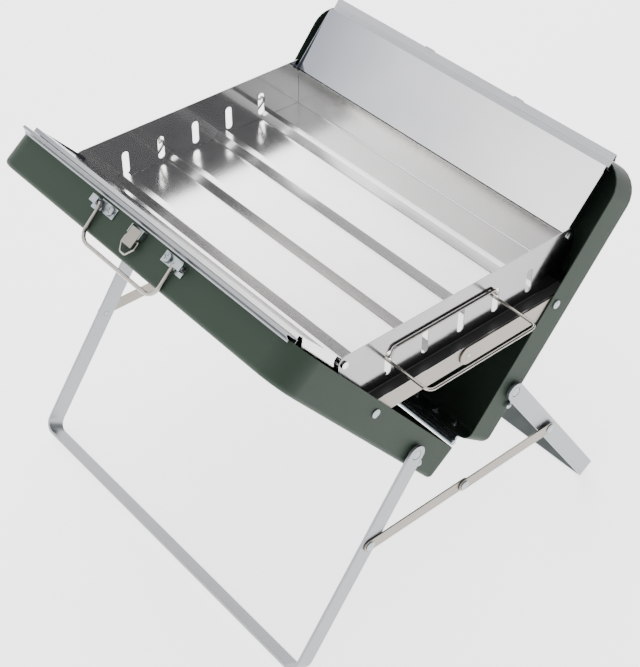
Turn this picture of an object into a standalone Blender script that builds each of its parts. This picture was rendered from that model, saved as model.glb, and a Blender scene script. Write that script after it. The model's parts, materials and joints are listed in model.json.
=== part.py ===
"""Folding table-top camping stove: two hinged sheet cases opened to a V on splayed U-shaped legs.

X runs along the hinge, the front case (with the latch) leans to -Y and the rear case to +Y, and Z
is up from the ground.  Lengths are in millimetres here and turned into metres as meshes are made.
Most pieces are laid out from the hinge pin: "out" is the distance along a case's open mouth plane,
away from the pin, and "deep" is the distance behind that plane.
"""
import math

import bmesh
import bpy
from mathutils import Matrix, Vector

# ---------------------------------------------------------------- driving sizes, in mm and degrees
GAP = 0.3                  # air between two pieces that touch or seat on each other

CASE_LENGTH = 430.0        # along the hinge
CASE_WIDTH = 299.5         # hinge-side wall to rim wall, outside
CASE_DEPTH = 37.5          # mouth to back panel, outside
CASE_SHEET = 1.0
CASE_MOUTH = 4.0           # how far the open mouth lies behind the pin's plane
CASE_HEEL = 7.5            # pin axis to the outside of the hinge-side wall
RIM_CORNER = 30.0          # plan radius of the two corners away from the hinge
HEEL_CORNER = 10.0
BACK_EDGE = 5.0
LEAN = 38.8                # each case from vertical when open

PIN_RADIUS = 1.5
PIN_CLEARANCE = 0.3
BARREL_RADIUS = 3.5
KNUCKLES = 5
HINGE_INSET = 12.0         # end of a case to the end of the hinge
LEAF_SHEET = 1.2
LEAF_DEEP = 30.0

RAIL_SHEET = 0.8
RAIL_INSET = 18.0
RAIL_FACE = 0.6            # middle of the rail's face sheet, behind the pin's plane
RAIL_IN = 9.0              # inner lip, from the outside of the rim wall
RAIL_OUT = 7.0             # how far the rail stands past the rim wall
RAIL_LIP = 5.4             # depth of the inner lip

LEG_WIDTH = 20.0
LEG_THICK = 3.0
LEG_BEND = 14.0
LEG_PIVOT_OUT = 71.0
LEG_PIVOT_DEEP = 27.0
LEG_SIDE = 2.4             # side wall to leg
LEG_PAST_RIM = 14.0        # folded leg's foot, outside face, past the rim wall
SPLAY = 34.6               # leg from vertical when open

STAY_THICK = 1.5
LOWER_STAY_WIDTH = 14.0
LOWER_STAY_DOWN = 99.4     # leg pivot to the stay's rivet
UPPER_STAY_WIDTH = 20.0
UPPER_STAY_OUT = 165.0
UPPER_STAY_DEEP = 15.0
UPPER_STAY_WALL = 0.6      # side wall to the nearer upper stay

TRAY_SHEET = 0.8
TRAY_INSET = 15.0          # end of the cases to the middle of an end plate
TRAY_FLOOR = 4.5           # seat to the middle of the floor sheet
TRAY_WALL = 46.5           # seat to the top of the pan's side walls
PLATE_OVER = 12.6          # top of the pan's side walls to the top of an end plate
PLATE_CORNER = 8.0
FLANGE_REACH = 12.0
SLOT_PITCH = 44.3
SLOT_HEIGHT = 27.0
SLOT_WIDTH = 8.0
SLOT_RISE = 23.0           # seat to the middle of the slots
RIDGE_PITCH = 63.0
RIDGE_WIDTH = 14.5
RIDGE_HEIGHT = 8.0
RIDGE_SHEET = 0.6

REFLECTOR_FRONT = 4.0      # reflector sheet in front of the pin's plane
REFLECTOR_OVER = 4.0       # top of the pan's side walls to the reflector's own pins
REFLECTOR_PAST = 2.0       # top edge past the rail's inner lip
REFLECTOR_INSET = 3.2      # end plate to the middle of the side lip
REFLECTOR_LIP = 7.8
REFLECTOR_PIN = 2.0

HANDLE_WIRE = 1.5
HANDLE_REACH = 52.0        # end plate to the grip
HANDLE_AXIS_RISE = 28.3
HANDLE_HAIRPIN = 2.5

BAIL_WIRE = 2.0
BAIL_HALF = 56.0           # middle of the object to an arm
BAIL_REACH = 37.0
BAIL_CORNER = 12.0
BAIL_RISE = 5.0            # bail axis above the rim wall
BAIL_DEEP = 9.0            # bail axis behind the mouth
BRACKET_BLOCK = 9.0 
BRACKET_TAB = 22.0
BRACKET_SHEET = 1.0

LATCH_HALF = 8.0
LATCH_DEEP = 8.5
LATCH_LEVER = 15.0
LATCH_LOOP = 15.0

# ---------------------------------------------------------------- sizes that follow from them
LEAN_RAD = math.radians(LEAN)
SPLAY_RAD = math.radians(SPLAY)
WALL = CASE_LENGTH / 2
RIM = CASE_HEEL + CASE_WIDTH
BACK = CASE_MOUTH + CASE_DEPTH
LEG_REACH = RIM + LEG_PAST_RIM - LEG_PIVOT_OUT
LEG_IN = WALL + LEG_SIDE
LEG_OUT = LEG_IN + LEG_THICK
LAYER_ONE = LEG_OUT + GAP
LAYER_TWO = LAYER_ONE + STAY_THICK + GAP
UPPER_OUTER = WALL - CASE_SHEET - UPPER_STAY_WALL - STAY_THICK
UPPER_INNER = UPPER_OUTER - GAP - STAY_THICK


def across_and_up(out, deep):
    """Horizontal and vertical distance from the pin of a point on the rear case."""
    across = out * math.sin(LEAN_RAD) + deep * math.cos(LEAN_RAD)
    up = out * math.cos(LEAN_RAD) - deep * math.sin(LEAN_RAD)
    return across, up


LEG_Y, LEG_Z = across_and_up(LEG_PIVOT_OUT, LEG_PIVOT_DEEP)
PIN_HEIGHT = LEG_REACH * math.cos(SPLAY_RAD) + LEG_WIDTH / 2 * math.sin(SPLAY_RAD) - LEG_Z
LOWER_HALF = LEG_Y + LOWER_STAY_DOWN * math.sin(SPLAY_RAD)
UPPER_HALF, UPPER_Z = across_and_up(UPPER_STAY_OUT, UPPER_STAY_DEEP)
SEAT = UPPER_Z + UPPER_STAY_WIDTH / 2 + GAP
PLATE_X = WALL - TRAY_INSET
PLATE_HEIGHT = TRAY_WALL + PLATE_OVER
PAN_HALF = PLATE_X - TRAY_SHEET / 2 - GAP
REFLECTOR_RISE = TRAY_WALL + REFLECTOR_OVER
REFLECTOR_Z = SEAT + REFLECTOR_RISE
REFLECTOR_Y = (REFLECTOR_Z * math.sin(LEAN_RAD) - REFLECTOR_FRONT) / math.cos(LEAN_RAD)
PAN_Y = REFLECTOR_Y + 2.0
PLATE_Y = REFLECTOR_Y + 6.5
REFLECTOR_OUT = REFLECTOR_Y * math.sin(LEAN_RAD) + REFLECTOR_Z * math.cos(LEAN_RAD)
HANDLE_X = PLATE_X - 1.5
RIVET_TOP = LAYER_TWO + STAY_THICK + 1.9
# A hanging handle rests with its arms on the edge of the foot flange or of the stay under it.
HANDLE_STOPS = [(PLATE_X + FLANGE_REACH - HANDLE_X, TRAY_SHEET - HANDLE_AXIS_RISE),
                (UPPER_OUTER + STAY_THICK - HANDLE_X, -GAP - HANDLE_AXIS_RISE)]
HANDLE_DROOP = min(math.acos((HANDLE_HAIRPIN + HANDLE_WIRE + GAP) / math.hypot(x, z))
                   - math.atan2(x, -z) for x, z in HANDLE_STOPS)
HANDLE_GRIP = PLATE_X + HANDLE_REACH - HANDLE_X
FAR_REACH = max(RIVET_TOP, HANDLE_X + HANDLE_GRIP * math.cos(HANDLE_DROOP)
                - HANDLE_HAIRPIN * math.sin(HANDLE_DROOP) + HANDLE_WIRE)
# The near handle stands out and the far one hangs, so the middle of the object's length is here.
MIDDLE_X = (PLATE_X + HANDLE_REACH + HANDLE_WIRE - FAR_REACH) / 2

for old in list(bpy.data.objects):
    bpy.data.objects.remove(old)

PARTS = bpy.data.collections.new("camping_stove")
CUTTERS = bpy.data.collections.new("camping_stove_cutters")
bpy.context.scene.collection.children.link(PARTS)
bpy.context.scene.collection.children.link(CUTTERS)


# ---------------------------------------------------------------- materials
def make_material(name, colour, roughness, metallic):
    material = bpy.data.materials.new(name)
    material.use_nodes = True
    shader = material.node_tree.nodes["Principled BSDF"]
    shader.inputs["Base Color"].default_value = (*colour, 1.0)
    shader.inputs["Roughness"].default_value = roughness
    shader.inputs["Metallic"].default_value = metallic
    material.diffuse_color = (*colour, 1.0)
    return material


PAINT = make_material("green_paint", (0.100, 0.130, 0.105), 0.38, 0.0)
MIRROR = make_material("polished_stainless", (0.78, 0.78, 0.77), 0.08, 1.0)
SATIN = make_material("satin_aluminium", (0.62, 0.63, 0.65), 0.32, 1.0)
STAY = make_material("warm_steel_stay", (0.60, 0.57, 0.52), 0.35, 1.0)
WIRE = make_material("nickel_wire", (0.60, 0.57, 0.53), 0.22, 1.0)
ZINC = make_material("zinc_fastener", (0.62, 0.66, 0.68), 0.30, 1.0)


# ---------------------------------------------------------------- modelling helpers
def scaled(point):
    return Vector(point) * 0.001


def add_object(name, data, material, parent=None, collection=PARTS):
    item = bpy.data.objects.new(name, data)
    collection.objects.link(item)
    if material is not None:
        item.data.materials.append(material)
    item.parent = parent
    if collection is CUTTERS:
        item.hide_render = True
        item.display_type = "WIRE"
    return item


def add_empty(name, parent, location=(0.0, 0.0, 0.0), rotation=(0.0, 0.0, 0.0)):
    item = bpy.data.objects.new(name, None)
    PARTS.objects.link(item)
    item.parent = parent
    item.location = scaled(location)
    item.rotation_euler = rotation
    return item


def mesh_from(bm, name):
    bmesh.ops.recalc_face_normals(bm, faces=bm.faces)
    mesh = bpy.data.meshes.new(name)
    bm.to_mesh(mesh)
    bm.free()
    return mesh


def smooth(item):
    item.data.shade_smooth()
    item.data.set_sharp_from_angle(angle=math.radians(35))
    return item


def boxes(name, extents, material, parent=None, collection=PARTS):
    """One object made of separate boxes, each given as its low and high corner."""
    bm = bmesh.new()
    for low, high in extents:
        middle = (scaled(low) + scaled(high)) / 2
        size = scaled(high) - scaled(low)
        place = Matrix.Translation(middle) @ Matrix.Diagonal((*size, 1.0))
        bmesh.ops.create_cube(bm, size=1.0, matrix=place)
    return add_object(name, mesh_from(bm, name), material, parent, collection)


def rods(name, spans, material, parent=None, collection=PARTS, segments=20):
    """One object made of separate round bars along X: (y, z, radius, low x, high x) for each."""
    bm = bmesh.new()
    for y, z, radius, low, high in spans:
        place = Matrix.Translation(scaled(((low + high) / 2, y, z)))
        place = place @ Matrix.Rotation(math.pi / 2, 4, "Y")
        bmesh.ops.create_cone(bm, cap_ends=True, segments=segments, radius1=radius * 0.001,
                              radius2=radius * 0.001, depth=(high - low) * 0.001, matrix=place)
    return add_object(name, mesh_from(bm, name), material, parent, collection)


def turned(name, profile, material, parent, location, side, segments=16):
    """A turned fastener whose axis runs out along X on the side given; profile is (radius, x)."""
    bm = bmesh.new()
    points = [bm.verts.new(scaled((radius, 0.0, height))) for radius, height in profile]
    for first, second in zip(points, points[1:]):
        bm.edges.new((first, second))
    mesh = bpy.data.meshes.new(name)
    bm.to_mesh(mesh)
    bm.free()
    item = add_object(name, mesh, material, parent)
    item.location = scaled(location)
    item.rotation_euler = (0.0, side * math.pi / 2, 0.0)
    screw = item.modifiers.new("turn", "SCREW")
    screw.axis = "Z"
    screw.steps = segments
    screw.render_steps = segments
    screw.use_merge_vertices = True
    screw.merge_threshold = 0.00001
    return item


def fillet(points, radius, steps=4, closed=False):
    """Round the corners of a path; radius is one value or one value for each corner."""
    points = [Vector(point) for point in points]
    count = len(points)
    radii = radius if isinstance(radius, (list, tuple)) else [radius] * count
    path = []
    for index, corner in enumerate(points):
        is_end = not closed and index in (0, count - 1)
        before = points[index - 1] - corner
        after = points[(index + 1) % count] - corner
        if is_end or radii[index] <= 0.0:
            path.append(corner)
            continue
        half = before.angle(after) / 2
        reach = min(radii[index] / math.tan(half), 0.49 * before.length, 0.49 * after.length)
        bend = reach * math.tan(half)
        inward = (before.normalized() + after.normalized()).normalized()
        centre = corner + inward * (bend / math.sin(half))
        start = corner + before.normalized() * reach - centre
        axis = start.cross(corner + after.normalized() * reach - centre).normalized()
        sweep = math.pi - 2 * half
        for step in range(steps + 1):
            turn = Matrix.Rotation(sweep * step / steps, 3, axis)
            path.append(centre + turn @ start)
    return path


def bent_sheet(name, profile, run, thickness, material, parent=None, collection=PARTS):
    """A sheet bent to an open profile and run along a vector, with its thickness about the middle."""
    bm = bmesh.new()
    points = [bm.verts.new(scaled(point)) for point in profile]
    edges = [bm.edges.new(pair) for pair in zip(points, points[1:])]
    drawn = bmesh.ops.extrude_edge_only(bm, edges=edges)
    moved = [part for part in drawn["geom"] if isinstance(part, bmesh.types.BMVert)]
    bmesh.ops.translate(bm, verts=moved, vec=scaled(run))
    item = add_object(name, mesh_from(bm, name), material, parent, collection)
    solid = item.modifiers.new("sheet", "SOLIDIFY")
    solid.thickness = thickness * 0.001
    solid.offset = 0.0
    solid.use_even_offset = True
    return item


def flat(name, outlines, thickness, material, parent=None, collection=PARTS):
    """A flat plate in local XY: the first outline is its edge and the others are holes."""
    curve = bpy.data.curves.new(name, "CURVE")
    curve.dimensions = "2D"
    curve.fill_mode = "BOTH"
    curve.extrude = thickness * 0.0005
    for outline in outlines:
        spline = curve.splines.new("POLY")
        spline.points.add(len(outline) - 1)
        spline.use_cyclic_u = True
        for point, (x, y) in zip(spline.points, outline):
            point.co = (x * 0.001, y * 0.001, 0.0, 1.0)
    return curve_to_mesh(name, curve, material, parent, collection)


def wire(name, path, radius, closed, material, parent, sides=2):
    curve = bpy.data.curves.new(name, "CURVE")
    curve.dimensions = "3D"
    curve.bevel_depth = radius * 0.001
    curve.bevel_resolution = sides
    curve.use_fill_caps = not closed
    spline = curve.splines.new("POLY")
    spline.points.add(len(path) - 1)
    spline.use_cyclic_u = closed
    for point, place in zip(spline.points, path):
        point.co = (*scaled(place), 1.0)
    return curve_to_mesh(name, curve, material, parent, PARTS)


def curve_to_mesh(name, curve, material, parent, collection):
    """Make a curve a closed mesh, so that it can be cut and joined."""
    draft = bpy.data.objects.new(name + "_draft", curve)
    CUTTERS.objects.link(draft)
    bpy.context.view_layer.update()
    graph = bpy.context.evaluated_depsgraph_get()
    mesh = bpy.data.meshes.new_from_object(draft.evaluated_get(graph))
    item_matrix = draft.matrix_world.copy()
    bpy.data.objects.remove(draft)
    bm = bmesh.new()
    bm.from_mesh(mesh)
    bmesh.ops.remove_doubles(bm, verts=bm.verts, dist=0.000001)
    bmesh.ops.recalc_face_normals(bm, faces=bm.faces)
    bm.to_mesh(mesh)
    bm.free()
    mesh.materials.clear()
    item = add_object(name, mesh, material, parent, collection)
    item.matrix_local = item_matrix
    return smooth(item)


def circle(centre_x, centre_y, radius, segments=16):
    angles = [2 * math.pi * step / segments for step in range(segments)]
    return [(centre_x + radius * math.cos(a), centre_y + radius * math.sin(a)) for a in angles]


def round_bar(length, width, segments=8):
    """Outline of a bar with round ends from one hole, at zero, to the other, at -length on Y."""
    half = width / 2
    outline = []
    for step in range(segments + 1):
        angle = math.pi * step / segments
        outline.append((half * math.cos(angle), half * math.sin(angle)))
    for step in range(segments + 1):
        angle = math.pi + math.pi * step / segments
        outline.append((half * math.cos(angle), -length + half * math.sin(angle)))
    return outline


def apply_boolean(item, tool, operation):
    cut = item.modifiers.new(operation.lower(), "BOOLEAN")
    cut.operation = operation
    cut.solver = "EXACT"
    cut.object = tool
    return item


# ---------------------------------------------------------------- frames that the pieces hang on
STAND = add_empty("stand", None, (-MIDDLE_X, 0.0, PIN_HEIGHT))
HALVES = {}
for half, turn in (("rear", 0.0), ("front", math.pi)):
    HALVES[half] = add_empty(half + "_half", STAND, rotation=(-LEAN_RAD, 0.0, turn))

# ---------------------------------------------------------------- hinge pin
HINGE_END = WALL - HINGE_INSET
HEAD = 1.5
pin_profile = [(0.0, HINGE_END + GAP + HEAD), (BARREL_RADIUS - 0.6, HINGE_END + GAP + HEAD),
               (BARREL_RADIUS, HINGE_END + GAP + HEAD / 2), (BARREL_RADIUS, HINGE_END + GAP),
               (PIN_RADIUS, HINGE_END + GAP), (PIN_RADIUS, -HINGE_END - GAP),
               (BARREL_RADIUS, -HINGE_END - GAP), (BARREL_RADIUS, -HINGE_END - GAP - HEAD / 2),
               (BARREL_RADIUS - 0.6, -HINGE_END - GAP - HEAD), (0.0, -HINGE_END - GAP - HEAD)]
turned("hinge_pin", pin_profile, ZINC, STAND, (0.0, 0.0, 0.0), 1)


# ---------------------------------------------------------------- sheet cases
def build_case(half):
    """An open sheet tray with wide corners at the rim, drilled for its rivets and stop screws."""
    frame = HALVES[half]
    bm = bmesh.new()
    size = scaled((CASE_LENGTH, CASE_DEPTH, CASE_WIDTH))
    middle = scaled((0.0, CASE_MOUTH + CASE_DEPTH / 2, CASE_HEEL + CASE_WIDTH / 2))
    place = Matrix.Translation(middle) @ Matrix.Diagonal((*size, 1.0))
    bmesh.ops.create_cube(bm, size=1.0, matrix=place)
    for top, radius, steps in ((True, RIM_CORNER, 7), (False, HEEL_CORNER, 4)):
        corners = []
        for edge in bm.edges:
            first, second = (vert.co for vert in edge.verts)
            runs_deep = abs(first.y - second.y) > size.y / 2
            if runs_deep and (first.z > middle.z) == top:
                corners.append(edge)
        bmesh.ops.bevel(bm, geom=corners, offset=radius * 0.001, segments=steps, profile=0.5,
                        affect="EDGES", clamp_overlap=True)
    behind = [edge for edge in bm.edges if all(vert.co.y > middle.y for vert in edge.verts)]
    bmesh.ops.bevel(bm, geom=behind, offset=BACK_EDGE * 0.001, segments=3, profile=0.5,
                    affect="EDGES", clamp_overlap=True)
    mouth = [face for face in bm.faces if face.normal.y < -0.9]
    bmesh.ops.delete(bm, geom=mouth, context="FACES_ONLY")
    item = add_object(half + "_case", mesh_from(bm, half + "_case"), PAINT, frame)
    smooth(item)
    sheet = item.modifiers.new("sheet", "SOLIDIFY")
    sheet.thickness = CASE_SHEET * 0.001
    sheet.offset = -1.0
    sheet.use_even_offset = True
    end = WALL + 5.0
    holes = [(LEG_PIVOT_DEEP, LEG_PIVOT_OUT, 3.0 + GAP, -end, end),
             (STOP_DEEP, STOP_OUT, 2.0 + GAP, -end, end),
             (UPPER_STAY_DEEP, UPPER_STAY_OUT, 2.3 + GAP, -end, end)]
    drill = rods(half + "_case_holes", holes, None, frame, CUTTERS, segments=12)
    return apply_boolean(item, drill, "DIFFERENCE")


# The stop screw bears on the open leg's inner edge, beside its round top.
STOP_HEAD = 3.4
LEG_AXIS_OUT = math.sin(SPLAY_RAD) * math.sin(LEAN_RAD) - math.cos(SPLAY_RAD) * math.cos(LEAN_RAD)
LEG_AXIS_DEEP = math.sin(SPLAY_RAD) * math.cos(LEAN_RAD) + math.cos(SPLAY_RAD) * math.sin(LEAN_RAD)
STOP_ALONG = 10.0
STOP_ASIDE = LEG_WIDTH / 2 + STOP_HEAD + GAP
STOP_OUT = LEG_PIVOT_OUT + STOP_ALONG * LEG_AXIS_OUT - STOP_ASIDE * LEG_AXIS_DEEP
STOP_DEEP = LEG_PIVOT_DEEP + STOP_ALONG * LEG_AXIS_DEEP + STOP_ASIDE * LEG_AXIS_OUT


# ---------------------------------------------------------------- hinge leaves
def build_leaf(half, first_knuckle):
    """A flat leaf under the hinge-side wall, with every other barrel of the hinge."""
    frame = HALVES[half]
    top = CASE_HEEL - GAP
    low = top - LEAF_SHEET
    near = BARREL_RADIUS + 0.7
    item = boxes(half + "_hinge_leaf", [((-HINGE_END, near, low), (HINGE_END, LEAF_DEEP, top))],
                 ZINC, frame)
    pitch = 2 * HINGE_END / KNUCKLES
    webs = []
    barrels = []
    for index in range(first_knuckle, KNUCKLES, 2):
        start = -HINGE_END + index * pitch + GAP
        stop = start + pitch - 2 * GAP
        if index == 0:
            start -= GAP
        if index == KNUCKLES - 1:
            stop += GAP
        webs.append(((start + 0.2, 1.9, 2.4), (stop - 0.2, near + 1.0, top - 0.2)))
        barrels.append((0.0, 0.0, BARREL_RADIUS, start, stop))
    apply_boolean(item, boxes(half + "_webs", webs, None, frame, CUTTERS), "UNION")
    apply_boolean(item, rods(half + "_barrels", barrels, None, frame, CUTTERS), "UNION")
    bore = [(0.0, 0.0, PIN_RADIUS + PIN_CLEARANCE, -HINGE_END - 5.0, HINGE_END + 5.0)]
    return apply_boolean(item, rods(half + "_bore", bore, None, frame, CUTTERS), "DIFFERENCE")


# ---------------------------------------------------------------- rim rails
def build_rail(half):
    """A grooved rail that caps the rim wall, with a lip inside it and a lap outside it."""
    half_sheet = RAIL_SHEET / 2
    lap = RIM + GAP + half_sheet + 0.05
    face = RAIL_FACE
    section = [(RIM - RAIL_IN, face + RAIL_LIP), (RIM - RAIL_IN, face),
               (RIM - 4.0, face), (RIM - 3.5, face + 0.5), (RIM - 3.0, face),
               (RIM - 1.5, face), (RIM - 1.0, face + 0.5), (RIM - 0.5, face),
               (RIM + RAIL_OUT - 0.7, face), (RIM + RAIL_OUT, face + 2.0),
               (RIM + 2.0, CASE_MOUTH + 0.6), (lap, CASE_MOUTH + 1.0), (lap, CASE_MOUTH + 2.6)]
    end = WALL - RAIL_INSET
    profile = [(-end, deep, out) for out, deep in section]
    return bent_sheet(half + "_rail", profile, (2 * end, 0.0, 0.0), RAIL_SHEET, SATIN, HALVES[half])


# ---------------------------------------------------------------- legs and their rivets
def build_leg(half):
    """One flat bar bent to a U, with round drilled ends on its pivots."""
    pivot = add_empty(half + "_leg_pivot", HALVES[half], (0.0, LEG_PIVOT_DEEP, LEG_PIVOT_OUT),
                      (SPLAY_RAD + LEAN_RAD, 0.0, 0.0))
    side = LEG_OUT - LEG_THICK / 2
    foot = -LEG_REACH + LEG_THICK / 2
    bend = LEG_BEND - LEG_THICK / 2
    aside = LEG_WIDTH / 2
    path = fillet([(-side, -aside, aside), (-side, -aside, foot), (side, -aside, foot),
                   (side, -aside, aside)], bend, 5)
    item = bent_sheet(half + "_leg", path, (0.0, LEG_WIDTH, 0.0), LEG_THICK, SATIN, pivot)
    outline = [(aside * math.cos(math.pi * step / 10), aside * math.sin(math.pi * step / 10))
               for step in range(11)]
    low = -LEG_REACH - 10.0
    wide = aside + 0.5
    outline += [(-aside, -1.0), (-wide, -1.0 - 0.5), (-wide, low), (wide, low), (wide, -1.5),
                (aside, -1.0)]
    keep = flat(half + "_leg_round", [outline], 2 * LEG_OUT + 10.0, None, pivot, CUTTERS)
    keep.matrix_local = Matrix(((0, 0, 1, 0), (1, 0, 0, 0), (0, 1, 0, 0), (0, 0, 0, 1)))
    apply_boolean(item, keep, "INTERSECT")
    end = LEG_OUT + 5.0
    drill = rods(half + "_leg_holes", [(0.0, 0.0, 3.0 + GAP, -end, end),
                                      (0.0, -LOWER_STAY_DOWN, 2.5 + GAP, -end, end)],
                 None, pivot, CUTTERS, segments=16)
    apply_boolean(item, drill, "DIFFERENCE")
    pocket = LEG_OUT - 1.5
    sinks = rods(half + "_leg_sinks", [(0.0, 0.0, 5.0 + GAP, -end, -pocket),
                                      (0.0, 0.0, 5.0 + GAP, pocket, end)],
                 None, pivot, CUTTERS, segments=16)
    return apply_boolean(item, sinks, "DIFFERENCE")


def build_leg_fasteners(half, side, name):
    """The shouldered rivet that a leg turns on, sunk flush, and the screw that stops the leg."""
    frame = HALVES[half]
    inner = WALL - CASE_SHEET
    rivet = [(0.0, LEG_OUT - 0.2), (4.6, LEG_OUT - 0.2), (5.0, LEG_OUT - 0.5),
             (5.0, LEG_OUT - 1.2), (3.0, LEG_OUT - 1.2), (3.0, LEG_IN - GAP),
             (6.5, LEG_IN - GAP), (6.5, WALL + GAP), (3.0, WALL + GAP), (3.0, inner), (0.0, inner)]
    place = (0.0, LEG_PIVOT_DEEP, LEG_PIVOT_OUT)
    turned(f"{half}_leg_rivet_{name}", rivet, ZINC, frame, place, side)
    top = LEG_OUT - 0.9
    screw = [(0.0, top), (STOP_HEAD * 0.6, top - 0.2), (STOP_HEAD, top - 1.4),
             (STOP_HEAD, WALL + GAP), (2.0, WALL + GAP), (2.0, inner), (0.0, inner)]
    turned(f"{half}_stop_screw_{name}", screw, ZINC, frame, (0.0, STOP_DEEP, STOP_OUT), side)


# ---------------------------------------------------------------- folding stays
def build_stay(name, joint, length, width, hole, layer, side, material):
    """One half of a folding stay: a flat bar from its rivet to the joint in the middle."""
    edge = round_bar(length, width)
    holes = [circle(0.0, 0.0, hole, 12), circle(0.0, -length, hole, 12)]
    item = flat(name, [edge] + holes, STAY_THICK, material, joint)
    middle = side * (layer + STAY_THICK / 2)
    item.matrix_local = Matrix.Translation(scaled((middle, 0.0, 0.0))) @ Matrix(
        ((0, 0, 1, 0), (0, 1, 0, 0), (-1, 0, 0, 0), (0, 0, 0, 1)))
    return item


def build_stays(half):
    """The lower stay outside the legs and the upper stay inside the cases, at both ends.

    The two halves of a stay lie in neighbouring layers, and the outer one carries the middle rivet.
    """
    leg_pivot = bpy.data.objects[half + "_leg_pivot"]
    lower = add_empty(half + "_lower_stay_joint", leg_pivot, (0.0, 0.0, -LOWER_STAY_DOWN),
                      (-SPLAY_RAD, 0.0, 0.0))
    upper = add_empty(half + "_upper_stay_joint", HALVES[half],
                      (0.0, UPPER_STAY_DEEP, UPPER_STAY_OUT), (LEAN_RAD, 0.0, 0.0))
    inner_wall = WALL - CASE_SHEET
    for side, name, lower_layer, upper_layer in ((1, "outer", LAYER_TWO, UPPER_OUTER),
                                                 (-1, "inner", LAYER_ONE, UPPER_INNER)):
        build_stay(f"{half}_lower_stay_{name}", lower, LOWER_HALF, LOWER_STAY_WIDTH, 2.5 + GAP,
                   lower_layer, side, STAY)
        build_stay(f"{half}_upper_stay_{name}", upper, UPPER_HALF, UPPER_STAY_WIDTH, 2.3 + GAP,
                   upper_layer, side, STAY)
        face = lower_layer + STAY_THICK + GAP
        head = [(0.0, face + 1.6), (3.2, face + 1.4), (5.0, face + 0.5), (5.0, face), (2.5, face)]
        spacer = []
        if side > 0:
            spacer = [(2.5, LAYER_ONE + STAY_THICK), (5.0, LAYER_ONE + STAY_THICK),
                      (5.0, LAYER_ONE), (2.5, LAYER_ONE)]
        rivet = head + spacer + [(2.5, LEG_IN), (0.0, LEG_IN)]
        turned(f"{half}_lower_rivet_{name}", rivet, ZINC, leg_pivot,
               (0.0, 0.0, -LOWER_STAY_DOWN), side)
        back = upper_layer - GAP
        top = LEG_IN - GAP
        rivet = [(0.0, top), (2.8, top - 0.2), (4.5, top - 0.9), (4.5, WALL + GAP),
                 (2.3, WALL + GAP)]
        if side < 0:
            rivet += [(2.3, inner_wall - GAP), (4.0, inner_wall - GAP),
                      (4.0, UPPER_OUTER), (2.3, UPPER_OUTER)]
        rivet += [(2.3, back), (4.0, back), (3.4, back - 1.0), (0.0, back - 1.1)]
        turned(f"{half}_upper_rivet_{name}", rivet, ZINC, HALVES[half],
               (0.0, UPPER_STAY_DEEP, UPPER_STAY_OUT), side)
    face = LAYER_TWO + STAY_THICK + GAP
    middle = [(0.0, face + 1.6), (3.2, face + 1.4), (5.0, face + 0.5), (5.0, face), (2.5, face),
              (2.5, LAYER_TWO), (0.0, LAYER_TWO)]
    turned(half + "_lower_middle_rivet", middle, ZINC, lower, (0.0, -LOWER_HALF, 0.0), 1)
    middle = [(0.0, UPPER_OUTER + STAY_THICK + 0.15), (2.3, UPPER_OUTER + STAY_THICK + 0.15),
              (2.3, UPPER_OUTER), (0.0, UPPER_OUTER)]
    turned(half + "_upper_middle_rivet", middle, ZINC, upper, (0.0, -UPPER_HALF, 0.0), 1)


# ---------------------------------------------------------------- carrying bails and their brackets
BAIL_DEPTH = CASE_MOUTH + BAIL_DEEP
BAIL_REST = math.atan2(BAIL_RISE - BAIL_WIRE - GAP, BACK - BACK_EDGE - BAIL_DEPTH)
BLOCK_START = BAIL_HALF + 3.0


def build_bail(half):
    """A wire bail lying against the rim wall, its ends turned out into two folded brackets."""
    frame = HALVES[half]
    hinge = add_empty(half + "_bail_hinge", frame, (0.0, BAIL_DEPTH, RIM + BAIL_RISE),
                      (-BAIL_REST, 0.0, 0.0))
    end = BLOCK_START + BRACKET_BLOCK - 1.0
    corners = [(-end, 0.0, 0.0), (-BAIL_HALF, 0.0, 0.0), (-BAIL_HALF, BAIL_REACH, 0.0),
               (BAIL_HALF, BAIL_REACH, 0.0), (BAIL_HALF, 0.0, 0.0), (end, 0.0, 0.0)]
    path = fillet(corners, [0.0, 3.6, BAIL_CORNER, BAIL_CORNER, 3.6, 0.0], 4)
    wire(half + "_bail", path, BAIL_WIRE, False, WIRE, hinge)
    base = RIM + GAP + BRACKET_SHEET / 2
    room = BAIL_WIRE + 0.6 + BRACKET_SHEET / 2
    crown = RIM + BAIL_RISE + room
    for side, name in ((1, "plus"), (-1, "minus")):
        section = [(BAIL_DEPTH + 8.0, base), (BAIL_DEPTH - room, base),
                   (BAIL_DEPTH - room, crown), (BAIL_DEPTH + room, crown),
                   (BAIL_DEPTH + room, RIM + BAIL_RISE - 1.6)]
        start = side * BLOCK_START
        profile = [(start, deep, out) for deep, out in section]
        item = bent_sheet(f"{half}_bracket_{name}", profile, (side * BRACKET_BLOCK, 0.0, 0.0),
                          BRACKET_SHEET, ZINC, frame)
        tab_low = base - BRACKET_SHEET / 2 + 0.1
        tab_high = base + BRACKET_SHEET / 2 - 0.1
        ends = sorted((start + side * 2.0, start - side * BRACKET_TAB))
        tab = boxes(f"{half}_tab_{name}", [((ends[0], BAIL_DEPTH - 4.5, tab_low),
                                           (ends[1], BAIL_DEPTH + 6.0, tab_high))],
                    None, frame, CUTTERS)
        apply_boolean(item, tab, "UNION")
        middle = start - side * (BRACKET_TAB - 5.5)
        bm = bmesh.new()
        place = Matrix.Translation(scaled((middle, BAIL_DEPTH + 0.5, base + 1.4)))
        bmesh.ops.create_cone(bm, cap_ends=True, segments=16, radius1=0.0045, radius2=0.0030,
                              depth=0.0026, matrix=place)
        screw = add_object(f"{half}_head_{name}", mesh_from(bm, "head"), None, frame, CUTTERS)
        apply_boolean(item, screw, "UNION")


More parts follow.
